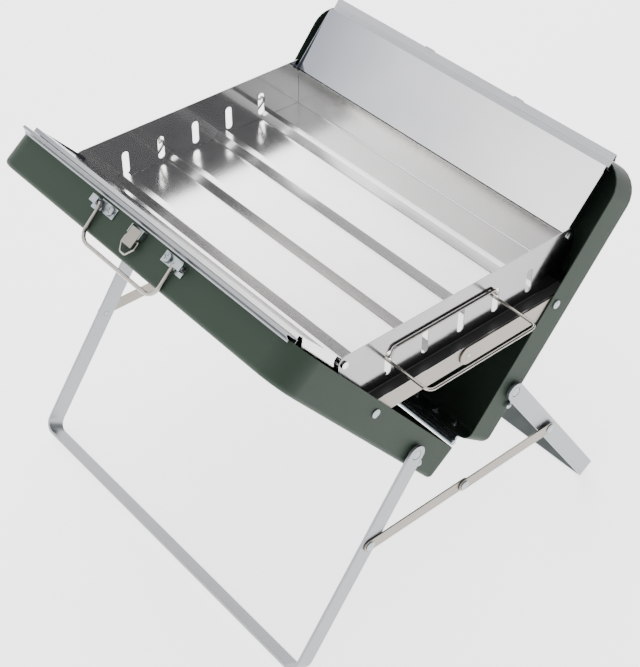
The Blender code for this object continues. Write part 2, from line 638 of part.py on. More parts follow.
# ---------------------------------------------------------------- latch and strike
def build_latch(frame):
    """An ear bracket with its pin, a channel lever and a wire loop, in the middle of the rim."""
    deep = CASE_MOUTH + LATCH_DEEP
    base = RIM + GAP + 0.5
    axis = RIM + 4.8
    length = 9.0
    near = deep - 4.0
    ears = [(-LATCH_HALF, near, axis + 2.6), (-LATCH_HALF, near, base),
            (LATCH_HALF, near, base), (LATCH_HALF, near, axis + 2.6)]
    item = bent_sheet("latch_base", ears, (0.0, length, 0.0), 1.0, ZINC, frame)
    pin = rods("latch_pin", [(deep, axis, 1.2, -LATCH_HALF - 0.2, LATCH_HALF + 0.2)],
               None, frame, CUTTERS, segments=12)
    apply_boolean(item, pin, "UNION")
    hinge = add_empty("latch_hinge", frame, (0.0, deep, axis))
    wide = LATCH_HALF - 0.5 - GAP - 0.7
    ridge = 2.2
    channel = [(-wide, -2.4, -1.9), (-wide, -2.4, ridge), (wide, -2.4, ridge), (wide, -2.4, -1.9)]
    lever = bent_sheet("latch_lever", channel, (0.0, LATCH_LEVER + 2.4, 0.0), 0.8, STAY, hinge)
    loop_y = LATCH_LEVER * 0.5
    drill = rods("latch_lever_holes", [(0.0, 0.0, 1.2 + GAP, -20.0, 20.0),
                                      (loop_y, -0.2, 0.9 + GAP, -20.0, 20.0)],
                 None, hinge, CUTTERS, segments=12)
    apply_boolean(lever, drill, "DIFFERENCE")
    loop_hinge = add_empty("latch_loop_hinge", hinge, (0.0, loop_y, -0.2))
    arm = LATCH_HALF + 1.2
    corners = [(-wide + 2.2, 0.0, 0.0), (-arm, 0.0, 0.0), (-arm, LATCH_LOOP * 0.45, 0.0),
               (-3.6, LATCH_LOOP, 0.0), (3.6, LATCH_LOOP, 0.0), (arm, LATCH_LOOP * 0.45, 0.0),
               (arm, 0.0, 0.0), (wide - 2.2, 0.0, 0.0)]
    path = fillet(corners, [0.0, 1.4, 2.5, 2.5, 2.5, 2.5, 1.4, 0.0], 3)
    wire("latch_loop", path, 0.9, False, WIRE, loop_hinge)


def build_strike(frame):
    """The hooked plate that the latch's loop catches."""
    base = RIM + GAP + 0.5
    deep = CASE_MOUTH + LATCH_DEEP
    section = [(deep + 9.0, base), (deep - 3.0, base), (deep - 1.2, RIM + 5.6),
               (deep + 2.4, RIM + 7.2)]
    profile = [(-LATCH_HALF, across, out) for across, out in section]
    return bent_sheet("rear_strike", profile, (2 * LATCH_HALF, 0.0, 0.0), 1.0, ZINC, frame)


# ---------------------------------------------------------------- reflectors
def build_reflector(half):
    """A sheet on two pins at the tray's edge, leaning on the rail by the lip along its top."""
    frame = HALVES[half]
    hinge = add_empty(half + "_reflector_hinge", frame, (0.0, -REFLECTOR_FRONT, REFLECTOR_OUT))
    half_sheet = TRAY_SHEET / 2
    end = PLATE_X - REFLECTOR_INSET
    reach = RIM - RAIL_IN + REFLECTOR_PAST - REFLECTOR_OUT
    lip = REFLECTOR_FRONT + RAIL_FACE - RAIL_SHEET / 2 - GAP
    section = [(-0.6, 0.0), (reach, 0.0), (reach, lip)]
    profile = [(-end, deep, out) for out, deep in section]
    item = bent_sheet(half + "_reflector", profile, (2 * end, 0.0, 0.0), TRAY_SHEET, MIRROR, hinge)
    top = reach - REFLECTOR_PAST - half_sheet - 2.0
    corners = [(-3.0, -3.2), (top - 3.0, -0.2), (top, -0.2), (top - 8.0, REFLECTOR_LIP),
               (8.0, REFLECTOR_LIP), (-3.0, 3.0)]
    outline = [(point.x, point.y) for point in
               fillet([(out, deep, 0.0) for out, deep in corners], 1.5, 2, closed=True)]
    for side, name in ((1, "plus"), (-1, "minus")):
        cheek = flat(f"{half}_cheek_{name}", [outline], TRAY_SHEET, None, hinge, CUTTERS)
        cheek.matrix_local = Matrix.Translation(scaled((side * (end + 0.1), 0.0, 0.0))) @ Matrix(
            ((0, 0, 1, 0), (0, 1, 0, 0), (1, 0, 0, 0), (0, 0, 0, 1)))
        apply_boolean(item, cheek, "UNION")
    face = PLATE_X + TRAY_SHEET / 2 + GAP
    for side, name in ((1, "plus"), (-1, "minus")):
        low, high = sorted((side * end, side * (face + 1.2)))
        pin = rods(f"{half}_pin_{name}", [(0.0, 0.0, REFLECTOR_PIN, low, high)], None, hinge,
                   CUTTERS, segments=12)
        apply_boolean(item, pin, "UNION")
        low, high = sorted((side * face, side * (face + 1.4)))
        head = rods(f"{half}_pin_head_{name}", [(0.0, 0.0, 3.6, low, high)], None, hinge,
                    CUTTERS, segments=12)
        apply_boolean(item, head, "UNION")
    return item


# ---------------------------------------------------------------- charcoal tray
TRAY = add_empty("tray_frame", STAND, (0.0, 0.0, SEAT))


def build_pan():
    """The tray's floor and side walls, bent from one sheet and open at the ends."""
    floor = TRAY_FLOOR
    corners = [(-PAN_HALF, -PAN_Y, TRAY_WALL), (-PAN_HALF, -PAN_Y, floor),
               (-PAN_HALF, PAN_Y, floor), (-PAN_HALF, PAN_Y, TRAY_WALL)]
    path = fillet(corners, 2.5, 3)
    return bent_sheet("tray_pan", path, (2 * PAN_HALF, 0.0, 0.0), TRAY_SHEET, MIRROR, TRAY)


def build_end_plate(side, name):
    """An upright plate with air slots and a foot flange that rests on the upper stays."""
    half_sheet = TRAY_SHEET / 2
    bend = 1.6
    corners = [(side * (PLATE_X + FLANGE_REACH), -PLATE_Y, half_sheet),
               (side * PLATE_X, -PLATE_Y, half_sheet), (side * PLATE_X, -PLATE_Y, PLATE_HEIGHT)]
    path = fillet(corners, bend, 3)
    item = bent_sheet("tray_end_" + name, path, (0.0, 2 * PLATE_Y, 0.0), TRAY_SHEET, MIRROR, TRAY)
    wide = PLATE_Y + 5.0
    top = [(PLATE_Y, 0.0), (PLATE_Y, PLATE_HEIGHT), (-PLATE_Y, PLATE_HEIGHT), (-PLATE_Y, 0.0)]
    rounded = fillet([(y, z, 0.0) for y, z in top], PLATE_CORNER, 5)
    outline = [(wide, -5.0), (wide, PLATE_HEIGHT * 0.3), (PLATE_Y + 0.1, PLATE_HEIGHT * 0.5)]
    outline += [(point.x, point.y) for point in rounded[1:-1]]
    outline += [(-PLATE_Y - 0.1, PLATE_HEIGHT * 0.5), (-wide, PLATE_HEIGHT * 0.3), (-wide, -5.0)]
    to_plate = Matrix(((0, 0, 1, 0), (1, 0, 0, 0), (0, 1, 0, 0), (0, 0, 0, 1)))
    keep = flat(f"plate_edge_{name}", [outline], 60.0, None, TRAY, CUTTERS)
    keep.matrix_local = Matrix.Translation(scaled((side * PLATE_X, 0.0, 0.0))) @ to_plate
    apply_boolean(item, keep, "INTERSECT")
    for index in range(-2, 3):
        reach = SLOT_HEIGHT - SLOT_WIDTH
        outline = round_bar(reach, SLOT_WIDTH, 6)
        slot = flat(f"slot_{name}_{index + 2}", [outline], 8.0, None, TRAY, CUTTERS)
        middle = scaled((side * PLATE_X, index * SLOT_PITCH, SLOT_RISE + reach / 2))
        slot.matrix_local = Matrix.Translation(middle) @ to_plate
        apply_boolean(item, slot, "DIFFERENCE")
    ends = sorted((side * (PLATE_X - 5.0), side * (PLATE_X + 5.0)))
    pins = rods(f"plate_pins_{name}", [(y, REFLECTOR_RISE, REFLECTOR_PIN + GAP + 0.1, *ends)
                                       for y in (-REFLECTOR_Y, REFLECTOR_Y)],
                None, TRAY, CUTTERS, segments=12)
    return apply_boolean(item, pins, "DIFFERENCE")


def build_ridges():
    """Four bent strips across the floor that hold the charcoal in lanes."""
    foot = TRAY_FLOOR + TRAY_SHEET / 2 + GAP
    half = RIDGE_WIDTH / 2 - RIDGE_SHEET / 2
    top = foot + RIDGE_HEIGHT - RIDGE_SHEET / 2
    for index in range(4):
        middle = (index - 1.5) * RIDGE_PITCH
        section = [(middle - half, foot), (middle - half + 5.0, top), (middle + half - 2.4, top),
                   (middle + half, foot)]
        profile = [(-PAN_HALF, y, z) for y, z in section]
        bent_sheet(f"ridge_{index + 1}", profile, (2 * PAN_HALF, 0.0, 0.0), RIDGE_SHEET, MIRROR,
                   TRAY)


# ---------------------------------------------------------------- tray handles
SLOT_LEFT = -2 * SLOT_PITCH
SLOT_RIGHT = SLOT_PITCH


def build_tray_handle(name, turn, droop):
    """A wire loop through two slots: a grip outside, hairpins inside and a bar on the plate's face."""
    side = 1 if turn == 0.0 else -1
    hinge = add_empty(name + "_hinge", TRAY, (side * HANDLE_X, 0.0, HANDLE_AXIS_RISE),
                      (0.0, droop, turn))
    behind = -2.0 - HANDLE_HAIRPIN
    bar_x = PLATE_X + TRAY_SHEET / 2 + HANDLE_WIRE + 0.6 - HANDLE_X
    lift = 11.0
    low = -HANDLE_HAIRPIN
    high = HANDLE_HAIRPIN
    corners = [(HANDLE_GRIP, SLOT_LEFT, low), (HANDLE_GRIP, SLOT_RIGHT, low), (behind, SLOT_RIGHT, low),
               (behind, SLOT_RIGHT, high), (bar_x, SLOT_RIGHT, high),
               (bar_x, SLOT_RIGHT - 5.0, lift), (bar_x, SLOT_LEFT + 5.0, lift),
               (bar_x, SLOT_LEFT, high), (behind, SLOT_LEFT, high), (behind, SLOT_LEFT, low)]
    bends = [7.0, 7.0, HANDLE_HAIRPIN, HANDLE_HAIRPIN, 2.0, 4.0, 4.0, 2.0, HANDLE_HAIRPIN,
             HANDLE_HAIRPIN]
    path = fillet(corners, bends, 4, closed=True)
    return wire(name, path, HANDLE_WIRE, True, WIRE, hinge)


# ---------------------------------------------------------------- assembly
for half, first_knuckle in (("rear", 0), ("front", 1)):
    build_case(half)
    build_leaf(half, first_knuckle)
    build_rail(half)
    build_leg(half)
    for side, name in ((1, "plus"), (-1, "minus")):
        build_leg_fasteners(half, side, name)
    build_stays(half)
    build_bail(half)
    build_reflector(half)
build_latch(HALVES["front"])
build_strike(HALVES["rear"])
build_pan()
build_end_plate(1, "near")
build_end_plate(-1, "far")
build_ridges()
build_tray_handle("tray_handle_near", 0.0, 0.0)
build_tray_handle("tray_handle_far", math.pi, HANDLE_DROOP)
bpy.context.view_layer.update()
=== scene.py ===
import json
import math

import bmesh
import bpy
from mathutils import Matrix, Vector


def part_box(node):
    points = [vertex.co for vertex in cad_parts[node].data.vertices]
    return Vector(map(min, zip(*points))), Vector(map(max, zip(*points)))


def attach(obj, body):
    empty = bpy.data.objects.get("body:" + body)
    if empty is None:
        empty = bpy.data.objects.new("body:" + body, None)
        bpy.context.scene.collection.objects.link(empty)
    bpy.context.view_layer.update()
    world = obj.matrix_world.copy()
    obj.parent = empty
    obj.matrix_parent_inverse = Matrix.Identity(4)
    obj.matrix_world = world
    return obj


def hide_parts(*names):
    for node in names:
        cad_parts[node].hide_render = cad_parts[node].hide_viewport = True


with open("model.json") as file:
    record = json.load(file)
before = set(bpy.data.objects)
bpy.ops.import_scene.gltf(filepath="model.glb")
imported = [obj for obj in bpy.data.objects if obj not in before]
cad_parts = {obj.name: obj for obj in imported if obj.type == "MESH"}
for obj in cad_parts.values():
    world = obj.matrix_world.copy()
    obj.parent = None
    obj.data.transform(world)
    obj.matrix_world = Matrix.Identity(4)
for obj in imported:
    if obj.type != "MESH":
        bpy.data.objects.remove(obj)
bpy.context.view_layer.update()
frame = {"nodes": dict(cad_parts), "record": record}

# ---- Studio
# A pale seamless table, one broad soft light high behind the far end, a second overhead and a
# weak one at the front, in a pale room that is dark high on the right and glows at the front left.
scene = bpy.context.scene
camera_data = bpy.data.cameras.new("studio_camera")
camera_data.sensor_fit = "HORIZONTAL"
camera_data.sensor_width = 36.0
camera_data.lens = 81.637
camera_data.shift_x = -0.0335
camera_data.shift_y = -0.0543
camera_data.clip_start = 0.05
camera_data.clip_end = 30.0
camera = bpy.data.objects.new("studio_camera", camera_data)
scene.collection.objects.link(camera)
camera.location = (0.86111, -0.73999, 1.17125)
camera.rotation_euler = [math.radians(angle) for angle in (50.3892, -0.7629, 49.1054)]
scene.camera = camera


def soft_light(name, place, aim, width, height, power):
    data = bpy.data.lights.new(name, "AREA")
    data.shape = "RECTANGLE"
    data.size = width
    data.size_y = height
    data.energy = power
    lamp = bpy.data.objects.new(name, data)
    scene.collection.objects.link(lamp)
    lamp.location = place
    lamp.rotation_mode = "QUATERNION"
    lamp.rotation_quaternion = (Vector(aim) - Vector(place)).to_track_quat("-Z", "Y")


soft_light("far_softbox", (-1.35, 1.15, 1.75), (0.0, 0.0, 0.25), 1.7, 1.7, 30.0)
soft_light("top_softbox", (0.1, -0.1, 2.6), (0.0, 0.0, 0.2), 2.2, 2.2, 30.0)
soft_light("front_fill", (0.6, -2.2, 1.1), (0.0, 0.0, 0.2), 1.6, 1.2, 14.0)


class Reading:
    """One number that changes over a surface; arithmetic on it adds Math nodes."""

    def __init__(self, bench, socket):
        self.bench = bench
        self.socket = socket

    def sum(self, operation, first, second=0.0):
        node = self.bench.node("ShaderNodeMath", {"operation": operation}, {0: first, 1: second})
        return Reading(self.bench, node.outputs[0])

    def __add__(self, other):
        return self.sum("ADD", self, other)

    def __radd__(self, other):
        return self.sum("ADD", other, self)

    def __sub__(self, other):
        return self.sum("SUBTRACT", self, other)

    def __rsub__(self, other):
        return self.sum("SUBTRACT", other, self)

    def __mul__(self, other):
        return self.sum("MULTIPLY", self, other)

    def __rmul__(self, other):
        return self.sum("MULTIPLY", other, self)

    def __pow__(self, other):
        return self.sum("POWER", self, other)


class Bench:
    """A node tree being wired, for a finish or for the room."""

    # The Mix node has one set of sockets per kind of value; these two are its colours.
    FIRST_COLOUR = 6
    SECOND_COLOUR = 7
    MIXED_COLOUR = 2

    def __init__(self, tree):
        self.tree = tree
        self.tree.nodes.clear()

    def node(self, kind, settings, inputs):
        made = self.tree.nodes.new(kind)
        for name, value in settings.items():
            if name == "stops":
                while len(made.color_ramp.elements) < len(value):
                    made.color_ramp.elements.new(0.5)
                for stop, (place, colour) in zip(made.color_ramp.elements, value):
                    stop.position = place
                    stop.color = (*colour, 1.0)
            else:
                setattr(made, name, value)
        for name, value in inputs.items():
            socket = made.inputs[name]
            if isinstance(value, Reading):
                value = value.socket
            if isinstance(value, bpy.types.NodeSocket):
                self.tree.links.new(value, socket)
            else:
                socket.default_value = value
        return made


room = bpy.data.worlds.new("studio_room")
room.use_nodes = True
scene.world = room
bench = Bench(room.node_tree)
where = bench.node("ShaderNodeTexCoord", {}, {}).outputs["Generated"]


def facing(bench, vector, direction):
    """How squarely a direction in the room faces another: 1 along it, -1 away from it."""
    unit = Vector(direction).normalized()
    dot = bench.node("ShaderNodeVectorMath", {"operation": "DOT_PRODUCT"},
                     {0: vector, 1: tuple(unit)})
    return Reading(bench, dot.outputs["Value"])


dim_side = facing(bench, where, (0.577, 0.511, 0.55))
bright_side = facing(bench, where, (-0.55, 0.50, 0.66))
tone = bench.node("ShaderNodeValToRGB", {"stops": [
    (0.0, (0.62, 0.63, 0.66)), (0.30, (0.72, 0.73, 0.75)), (0.80, (0.90, 0.90, 0.90)),
    (1.0, (1.0, 0.99, 0.98))]}, {"Fac": bright_side * 0.5 + 0.5})
shade = bench.node("ShaderNodeValToRGB", {"stops": [
    (0.0, (1.0, 1.0, 1.0)), (0.60, (1.0, 1.0, 1.0)), (0.84, (0.24, 0.24, 0.25)),
    (1.0, (0.10, 0.10, 0.105))]}, {"Fac": dim_side * 0.5 + 0.5})
mixed = bench.node("ShaderNodeMix", {"data_type": "RGBA", "blend_type": "MULTIPLY"},
                   {"Factor": 1.0, Bench.FIRST_COLOUR: tone.outputs["Color"],
                    Bench.SECOND_COLOUR: shade.outputs["Color"]})
glow = bench.node("ShaderNodeMath", {"operation": "MAXIMUM"},
                  {0: facing(bench, where, (-0.577, -0.732, 0.363)), 1: 0.0})
glow = Reading(bench, glow.outputs[0])
backdrop = bench.node("ShaderNodeBackground", {}, {
    "Color": mixed.outputs[Bench.MIXED_COLOUR], "Strength": glow ** 8.0 * 2.2 + 1.5})
bench.node("ShaderNodeOutputWorld", {}, {"Surface": backdrop.outputs["Background"]})


def finish(name, colour, metallic, roughness, coat=0.0):
    """A new finish: its bench, its shader and the Object coordinates that patterns read."""
    material = bpy.data.materials.new(name)
    material.use_nodes = True
    made = Bench(material.node_tree)
    shader = made.node("ShaderNodeBsdfPrincipled", {}, {
        "Base Color": (*colour, 1.0), "Metallic": metallic, "Roughness": roughness,
        "Coat Weight": coat})
    made.node("ShaderNodeOutputMaterial", {}, {"Surface": shader.outputs["BSDF"]})
    place = made.node("ShaderNodeTexCoord", {}, {}).outputs["Object"]
    return material, made, shader, place


def grain(made, vector, scale, detail=2.0, roughness=0.5):
    noise = made.node("ShaderNodeTexNoise", {}, {
        "Vector": vector, "Scale": scale, "Detail": detail, "Roughness": roughness})
    return Reading(made, noise.outputs["Fac"])


def relief(made, shader, height, distance, strength=1.0):
    bump = made.node("ShaderNodeBump", {}, {
        "Height": height, "Distance": distance, "Strength": strength})
    made.tree.links.new(bump.outputs["Normal"], shader.inputs["Normal"])


def tint(made, shader, factor, low, high):
    """Base colour that wanders between two shades."""
    colour = made.node("ShaderNodeMix", {"data_type": "RGBA"}, {
        "Factor": factor, Bench.FIRST_COLOUR: (*low, 1.0), Bench.SECOND_COLOUR: (*high, 1.0)})
    made.tree.links.new(colour.outputs[Bench.MIXED_COLOUR], shader.inputs["Base Color"])


def dull_by(made, shader, amount):
    """Roughness that follows a pattern."""
    made.tree.links.new(amount.socket, shader.inputs["Roughness"])


def stretched(made, place, scale):
    """Coordinates stretched so that a pattern on them turns into streaks."""
    return made.node("ShaderNodeMapping", {}, {"Vector": place, "Scale": scale}).outputs["Vector"]


def lengthwise(made, place):
    """Metres along the hinge."""
    return Reading(made, made.node("ShaderNodeSeparateXYZ", {}, {"Vector": place}).outputs["X"])


table_finish, made, shader, place = finish("table_card", (0.95, 0.95, 0.95), 0.0, 0.65)
shader.inputs["Emission Color"].default_value = (1.0, 1.0, 1.0, 1.0)
shader.inputs["Emission Strength"].default_value = 2.2
grid = bmesh.new()
bmesh.ops.create_grid(grid, x_segments=2, y_segments=2, size=6.0)
table_mesh = bpy.data.meshes.new("table_top")
grid.to_mesh(table_mesh)
grid.free()
table_top = bpy.data.objects.new("table_top", table_mesh)
scene.collection.objects.link(table_top)
table_mesh.materials.append(table_finish)

# ---- Frames of the two cases
# Everything hangs on the hinge pin: each case leans back from it, and its pieces are placed by how
# far out along the case and how deep behind the case's mouth they lie.
bodies = frame["record"]["behaviour"]["bodies"]
body_of_node = {node: body for body, nodes in bodies.items() for node in nodes}
pin_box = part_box("hinge_pin")
hinge_place = Vector([(pin_box[0][axis] + pin_box[1][axis]) / 2 for axis in range(3)])
LEAN = math.radians(38.8)
half_frame = {}
for half, turn in (("rear", 0.0), ("front", math.pi)):
    half_frame[half] = (Matrix.Translation(hinge_place) @ Matrix.Rotation(turn, 4, "Z")
                        @ Matrix.Rotation(-LEAN, 4, "X"))


def dress(node, material, edge=0.0, smooth_below=40.0):
    """The node's own solid with its edges eased and shaded round, in a finished material."""
    work = bmesh.new()
    work.from_mesh(frame["nodes"][node].data)
    bmesh.ops.remove_doubles(work, verts=work.verts, dist=0.000002)
    bmesh.ops.dissolve_limit(work, angle_limit=math.radians(0.4), verts=work.verts,
                             edges=work.edges)
    if edge:
        sharp = [line for line in work.edges
                 if len(line.link_faces) == 2 and line.calc_face_angle(0.0) > math.radians(50)]
        bmesh.ops.bevel(work, geom=sharp, offset=edge * 0.001, offset_type="OFFSET", segments=2,
                        profile=0.5, affect="EDGES", clamp_overlap=True, material=-1)
    mesh = bpy.data.meshes.new(node + "_made")
    work.to_mesh(mesh)
    work.free()
    mesh.materials.clear()
    mesh.materials.append(material)
    mesh.shade_smooth()
    mesh.set_sharp_from_angle(angle=math.radians(smooth_below))
    piece = bpy.data.objects.new(node + "_made", mesh)
    scene.collection.objects.link(piece)
    weighted = piece.modifiers.new("even_faces", "WEIGHTED_NORMAL")
    weighted.keep_sharp = True
    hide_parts(node)
    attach(piece, body_of_node[node])


def settle(work, name, material, body):
    """Turn a finished bmesh into a piece that rides on a body."""
    bmesh.ops.recalc_face_normals(work, faces=work.faces)
    mesh = bpy.data.meshes.new(name)
    work.to_mesh(mesh)
    work.free()
    mesh.materials.append(material)
    mesh.shade_smooth()
    mesh.set_sharp_from_angle(angle=math.radians(40))
    piece = bpy.data.objects.new(name, mesh)
    scene.collection.objects.link(piece)
    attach(piece, body)


# ---- Cases
# Two trays pressed from steel sheet, with wide corners at the rim, powder coated in a satin dark
# green. The coat has a fine orange peel and is a little worn and dusty.
paint, made, shader, place = finish("green_powder_coat", (0.078, 0.103, 0.083), 0.0, 0.46)
shader.inputs["Specular IOR Level"].default_value = 0.10
cloud = grain(made, place, 9.0, 4.0, 0.55)
speck = grain(made, place, 900.0, 2.0, 0.6)
tint(made, shader, cloud * 0.55 + speck * 0.45, (0.023, 0.035, 0.025), (0.032, 0.047, 0.035))
dull_by(made, shader, cloud * 0.10 + speck * 0.10 + 0.38)
peel = grain(made, place, 420.0, 3.0, 0.5)
relief(made, shader, peel, 0.00008, 0.35)
for half in ("front", "rear"):
    dress(half + "_case", paint, 0.25)

# ---- Hinge, leaves and their bolts
# A zinc-plated piano hinge: two leaves bolted under the cases' inner walls, rolled round one pin.
# The bolts' domed ends stand up inside the cases.
zinc, made, shader, place = finish("zinc_plate", (0.42, 0.45, 0.47), 1.0, 0.30)
spangle = made.node("ShaderNodeTexVoronoi", {"feature": "F1"}, {"Vector": place, "Scale": 700.0})
flake = Reading(made, spangle.outputs["Distance"])
haze = grain(made, place, 160.0, 3.0, 0.6)
tint(made, shader, haze, (0.22, 0.245, 0.26), (0.42, 0.46, 0.48))
dull_by(made, shader, flake * 0.22 + haze * 0.12 + 0.16)
relief(made, shader, haze, 0.00006, 0.4)
for node in ("hinge_pin", "front_hinge_leaf", "rear_hinge_leaf"):
    dress(node, zinc, 0.15)


MM = 0.001


def turn_profile(profile, steps):
    """A closed solid turned about Z from (radius, height) points in millimetres."""
    work = bmesh.new()
    points = [work.verts.new((radius * MM, 0.0, height * MM)) for radius, height in profile]
    lines = [work.edges.new(pair) for pair in zip(points, points[1:])]
    bmesh.ops.spin(work, geom=points + lines, cent=(0, 0, 0), axis=(0, 0, 1), angle=2 * math.pi,
                   steps=steps, use_merge=True)
    bmesh.ops.remove_doubles(work, verts=work.verts, dist=0.000005)
    return work


BOLT_RADIUS = 3.6
BOLT_DOME = 1.8
BOLT_SHANK = 1.7
HEEL_INSIDE = 8.55             # pin to the inner face of a case's hinge-side wall


def domed_bolt(name, stand, body):
    """A low dome with the plain stub of its bolt on top."""
    profile = [(0.0, 0.0), (BOLT_RADIUS, 0.0), (BOLT_RADIUS, BOLT_DOME * 0.35),
               (BOLT_RADIUS * 0.86, BOLT_DOME * 0.75), (BOLT_RADIUS * 0.55, BOLT_DOME * 0.96),
               (BOLT_SHANK, BOLT_DOME), (BOLT_SHANK, BOLT_DOME + 2.4),
               (BOLT_SHANK * 0.6, BOLT_DOME + 2.9), (0.0, BOLT_DOME + 3.0)]
    work = turn_profile(profile, 24)
    bmesh.ops.transform(work, matrix=stand, verts=work.verts)
    settle(work, name, zinc, body)


for half in ("front", "rear"):
    for index, (along, deep) in enumerate(((-182, 20), (-128, 24), (-62, 20), (62, 20), (128, 24),
                                           (158, 20), (182, 24))):
        stand = half_frame[half] @ Matrix.Translation(Vector((along, deep, HEEL_INSIDE)) * MM)
        domed_bolt(f"{half}_hinge_bolt_{index}", stand, half + "_case_body")

# ---- Rim rails
# Grooved strips of satin aluminium capping each rim, drawn lengthwise so that their streaks run
# along the rim.
satin, made, shader, place = finish("drawn_aluminium", (0.42, 0.43, 0.45), 1.0, 0.34)
streak = grain(made, stretched(made, place, (6.0, 900.0, 900.0)), 1.0, 3.0, 0.6)
cloud = grain(made, place, 14.0, 3.0, 0.5)
tint(made, shader, streak * 0.6 + cloud * 0.4, (0.24, 0.25, 0.27), (0.42, 0.43, 0.45))
dull_by(made, shader, streak * 0.16 + cloud * 0.08 + 0.22)
relief(made, shader, streak, 0.00005, 0.5)
for half in ("front", "rear"):
    dress(half + "_rail", satin, 0.15)

# ---- Legs and their fasteners
# Each leg is one flat aluminium bar bent to a U and tumbled to a soft grey; it turns on two
# shouldered rivets and stops against a screw head.
bar_steel, made, shader, place = finish("tumbled_aluminium", (0.38, 0.39, 0.41), 1.0, 0.38)
cloud = grain(made, place, 30.0, 4.0, 0.6)
fleck = grain(made, place, 1500.0, 2.0, 0.6)
tint(made, shader, cloud * 0.4 + fleck * 0.6, (0.22, 0.23, 0.245), (0.36, 0.37, 0.39))
dull_by(made, shader, cloud * 0.14 + fleck * 0.10 + 0.26)
relief(made, shader, fleck, 0.00005, 0.45)
for half in ("front", "rear"):
    dress(half + "_leg", bar_steel, 0.35)
    for name in ("plus", "minus"):
        dress(f"{half}_leg_rivet_{name}", zinc)
        dress(f"{half}_stop_screw_{name}", zinc)

# ---- Folding stays
# Nickel-plated steel strips in a warm grey, riveted to the legs and to the case walls, with a
# rivet where their two halves meet.
nickel, made, shader, place = finish("nickelled_strip", (0.36, 0.335, 0.30), 1.0, 0.36)
streak = grain(made, stretched(made, place, (900.0, 12.0, 900.0)), 1.0, 3.0, 0.6)
cloud = grain(made, place, 25.0, 3.0, 0.5)
tint(made, shader, streak * 0.5 + cloud * 0.5, (0.20, 0.183, 0.16), (0.32, 0.295, 0.26))
dull_by(made, shader, streak * 0.14 + cloud * 0.10 + 0.24)
relief(made, shader, streak, 0.00004, 0.5)
for half in ("front", "rear"):
    for name in ("outer", "inner"):
        dress(f"{half}_lower_stay_{name}", nickel, 0.25)
        dress(f"{half}_upper_stay_{name}", nickel, 0.25)
        dress(f"{half}_lower_rivet_{name}", zinc)
        dress(f"{half}_upper_rivet_{name}", zinc)
    dress(half + "_lower_middle_rivet", zinc)
    dress(half + "_upper_middle_rivet", zinc)

# ---- Charcoal tray
# Bright stainless sheet: a bent pan, two slotted end plates and four folded ridges, polished to a
# near mirror with faint rolling streaks and handling haze. The pan and ridges carry a painted
# reflection that darkens towards the near end. The near end plate is a darker copy with painted
# shade, and the black strips on the end plates' foot flanges are painted shade.
mirror, made, shader, place = finish("polished_stainless", (0.80, 0.80, 0.80), 1.0, 0.10)
streak = grain(made, stretched(made, place, (5.0, 700.0, 700.0)), 1.0, 2.0, 0.5)
haze = grain(made, place, 16.0, 4.0, 0.6)
tint(made, shader, haze, (0.76, 0.76, 0.77), (0.84, 0.84, 0.83))
dull_by(made, shader, streak * 0.05 + haze * 0.10 + 0.03)
relief(made, shader, grain(made, place, 26.0, 1.0, 0.4), 0.0004, 0.06)
rolled, made, shader, place = finish("rolled_stainless_painted_reflection", (0.78, 0.78, 0.77), 1.0, 0.20)
streak = grain(made, stretched(made, place, (5.0, 800.0, 800.0)), 1.0, 2.0, 0.5)
haze = grain(made, place, 12.0, 4.0, 0.6)
along = lengthwise(made, place)
# Painted reflection: the base colour darkens steadily towards the near end (along X); the haze and
# streaks are the steel's own.
tint(made, shader, haze * 0.4 + 0.3 - along * 1.6, (0.46, 0.455, 0.45), (0.90, 0.895, 0.88))
dull_by(made, shader, streak * 0.06 + haze * 0.10 + 0.11)
relief(made, shader, grain(made, place, 20.0, 1.0, 0.4), 0.0004, 0.08)
dress("tray_pan", rolled, 0.2)
dress("tray_end_far", mirror, 0.15)
# The near end plate gets a darker, duller copy of the same stainless: painted shade on that plate.
# Only the haze in it is the steel's own.
painted_shade_stainless, made, shader, place = finish("near_plate_painted_shade", (0.42, 0.42, 0.42), 1.0, 0.16)
haze = grain(made, place, 14.0, 4.0, 0.6)
tint(made, shader, haze, (0.27, 0.27, 0.27), (0.35, 0.35, 0.35))
dull_by(made, shader, haze * 0.16 + 0.08)
relief(made, shader, grain(made, place, 26.0, 1.0, 0.4), 0.0004, 0.06)
dress("tray_end_near", painted_shade_stainless, 0.15)
for index in range(1, 5):
    dress(f"ridge_{index}", rolled, 0.15)

# A thin black strip on each end plate's foot flange is painted shade: it darkens the flange where
# it lies in shadow and is no real paint or soot.
painted_shade_black, made, shader, place = finish("foot_flange_painted_shade", (0.012, 0.012, 0.012), 0.0, 0.55)
cloud = grain(made, place, 60.0, 3.0, 0.6)
tint(made, shader, cloud, (0.008, 0.008, 0.008), (0.018, 0.017, 0.016))
relief(made, shader, grain(made, place, 600.0, 2.0, 0.5), 0.00008, 0.4)
for name, side in (("near", 1), ("far", -1)):
    low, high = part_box("tray_end_" + name)
    root = (low.x + 0.0013) if side == 1 else (high.x - 0.0013)
    tip = (high.x - 0.0006) if side == 1 else (low.x + 0.0006)
    work = bmesh.new()
    bmesh.ops.create_cube(work, size=1.0, matrix=Matrix.Translation(
        ((root + tip) / 2, 0.0, low.z + 0.00098)) @ Matrix.Diagonal(
        (abs(tip - root), high.y - low.y - 0.030, 0.0003, 1.0)))
    settle(work, name + "_foot_paint", painted_shade_black, "tray")

# ---- Reflectors
# Two sheets of the same stainless on pins at the tray's edges, leaning on the rails; their side
# lips and top edges are folded back. Their base colour carries a painted reflection, dark at the
# far end and light at the near end.
sheet, made, shader, place = finish("reflector_painted_reflection", (0.7, 0.7, 0.7), 1.0, 0.10)
along = lengthwise(made, place)
haze = grain(made, place, 5.0, 3.0, 0.5)
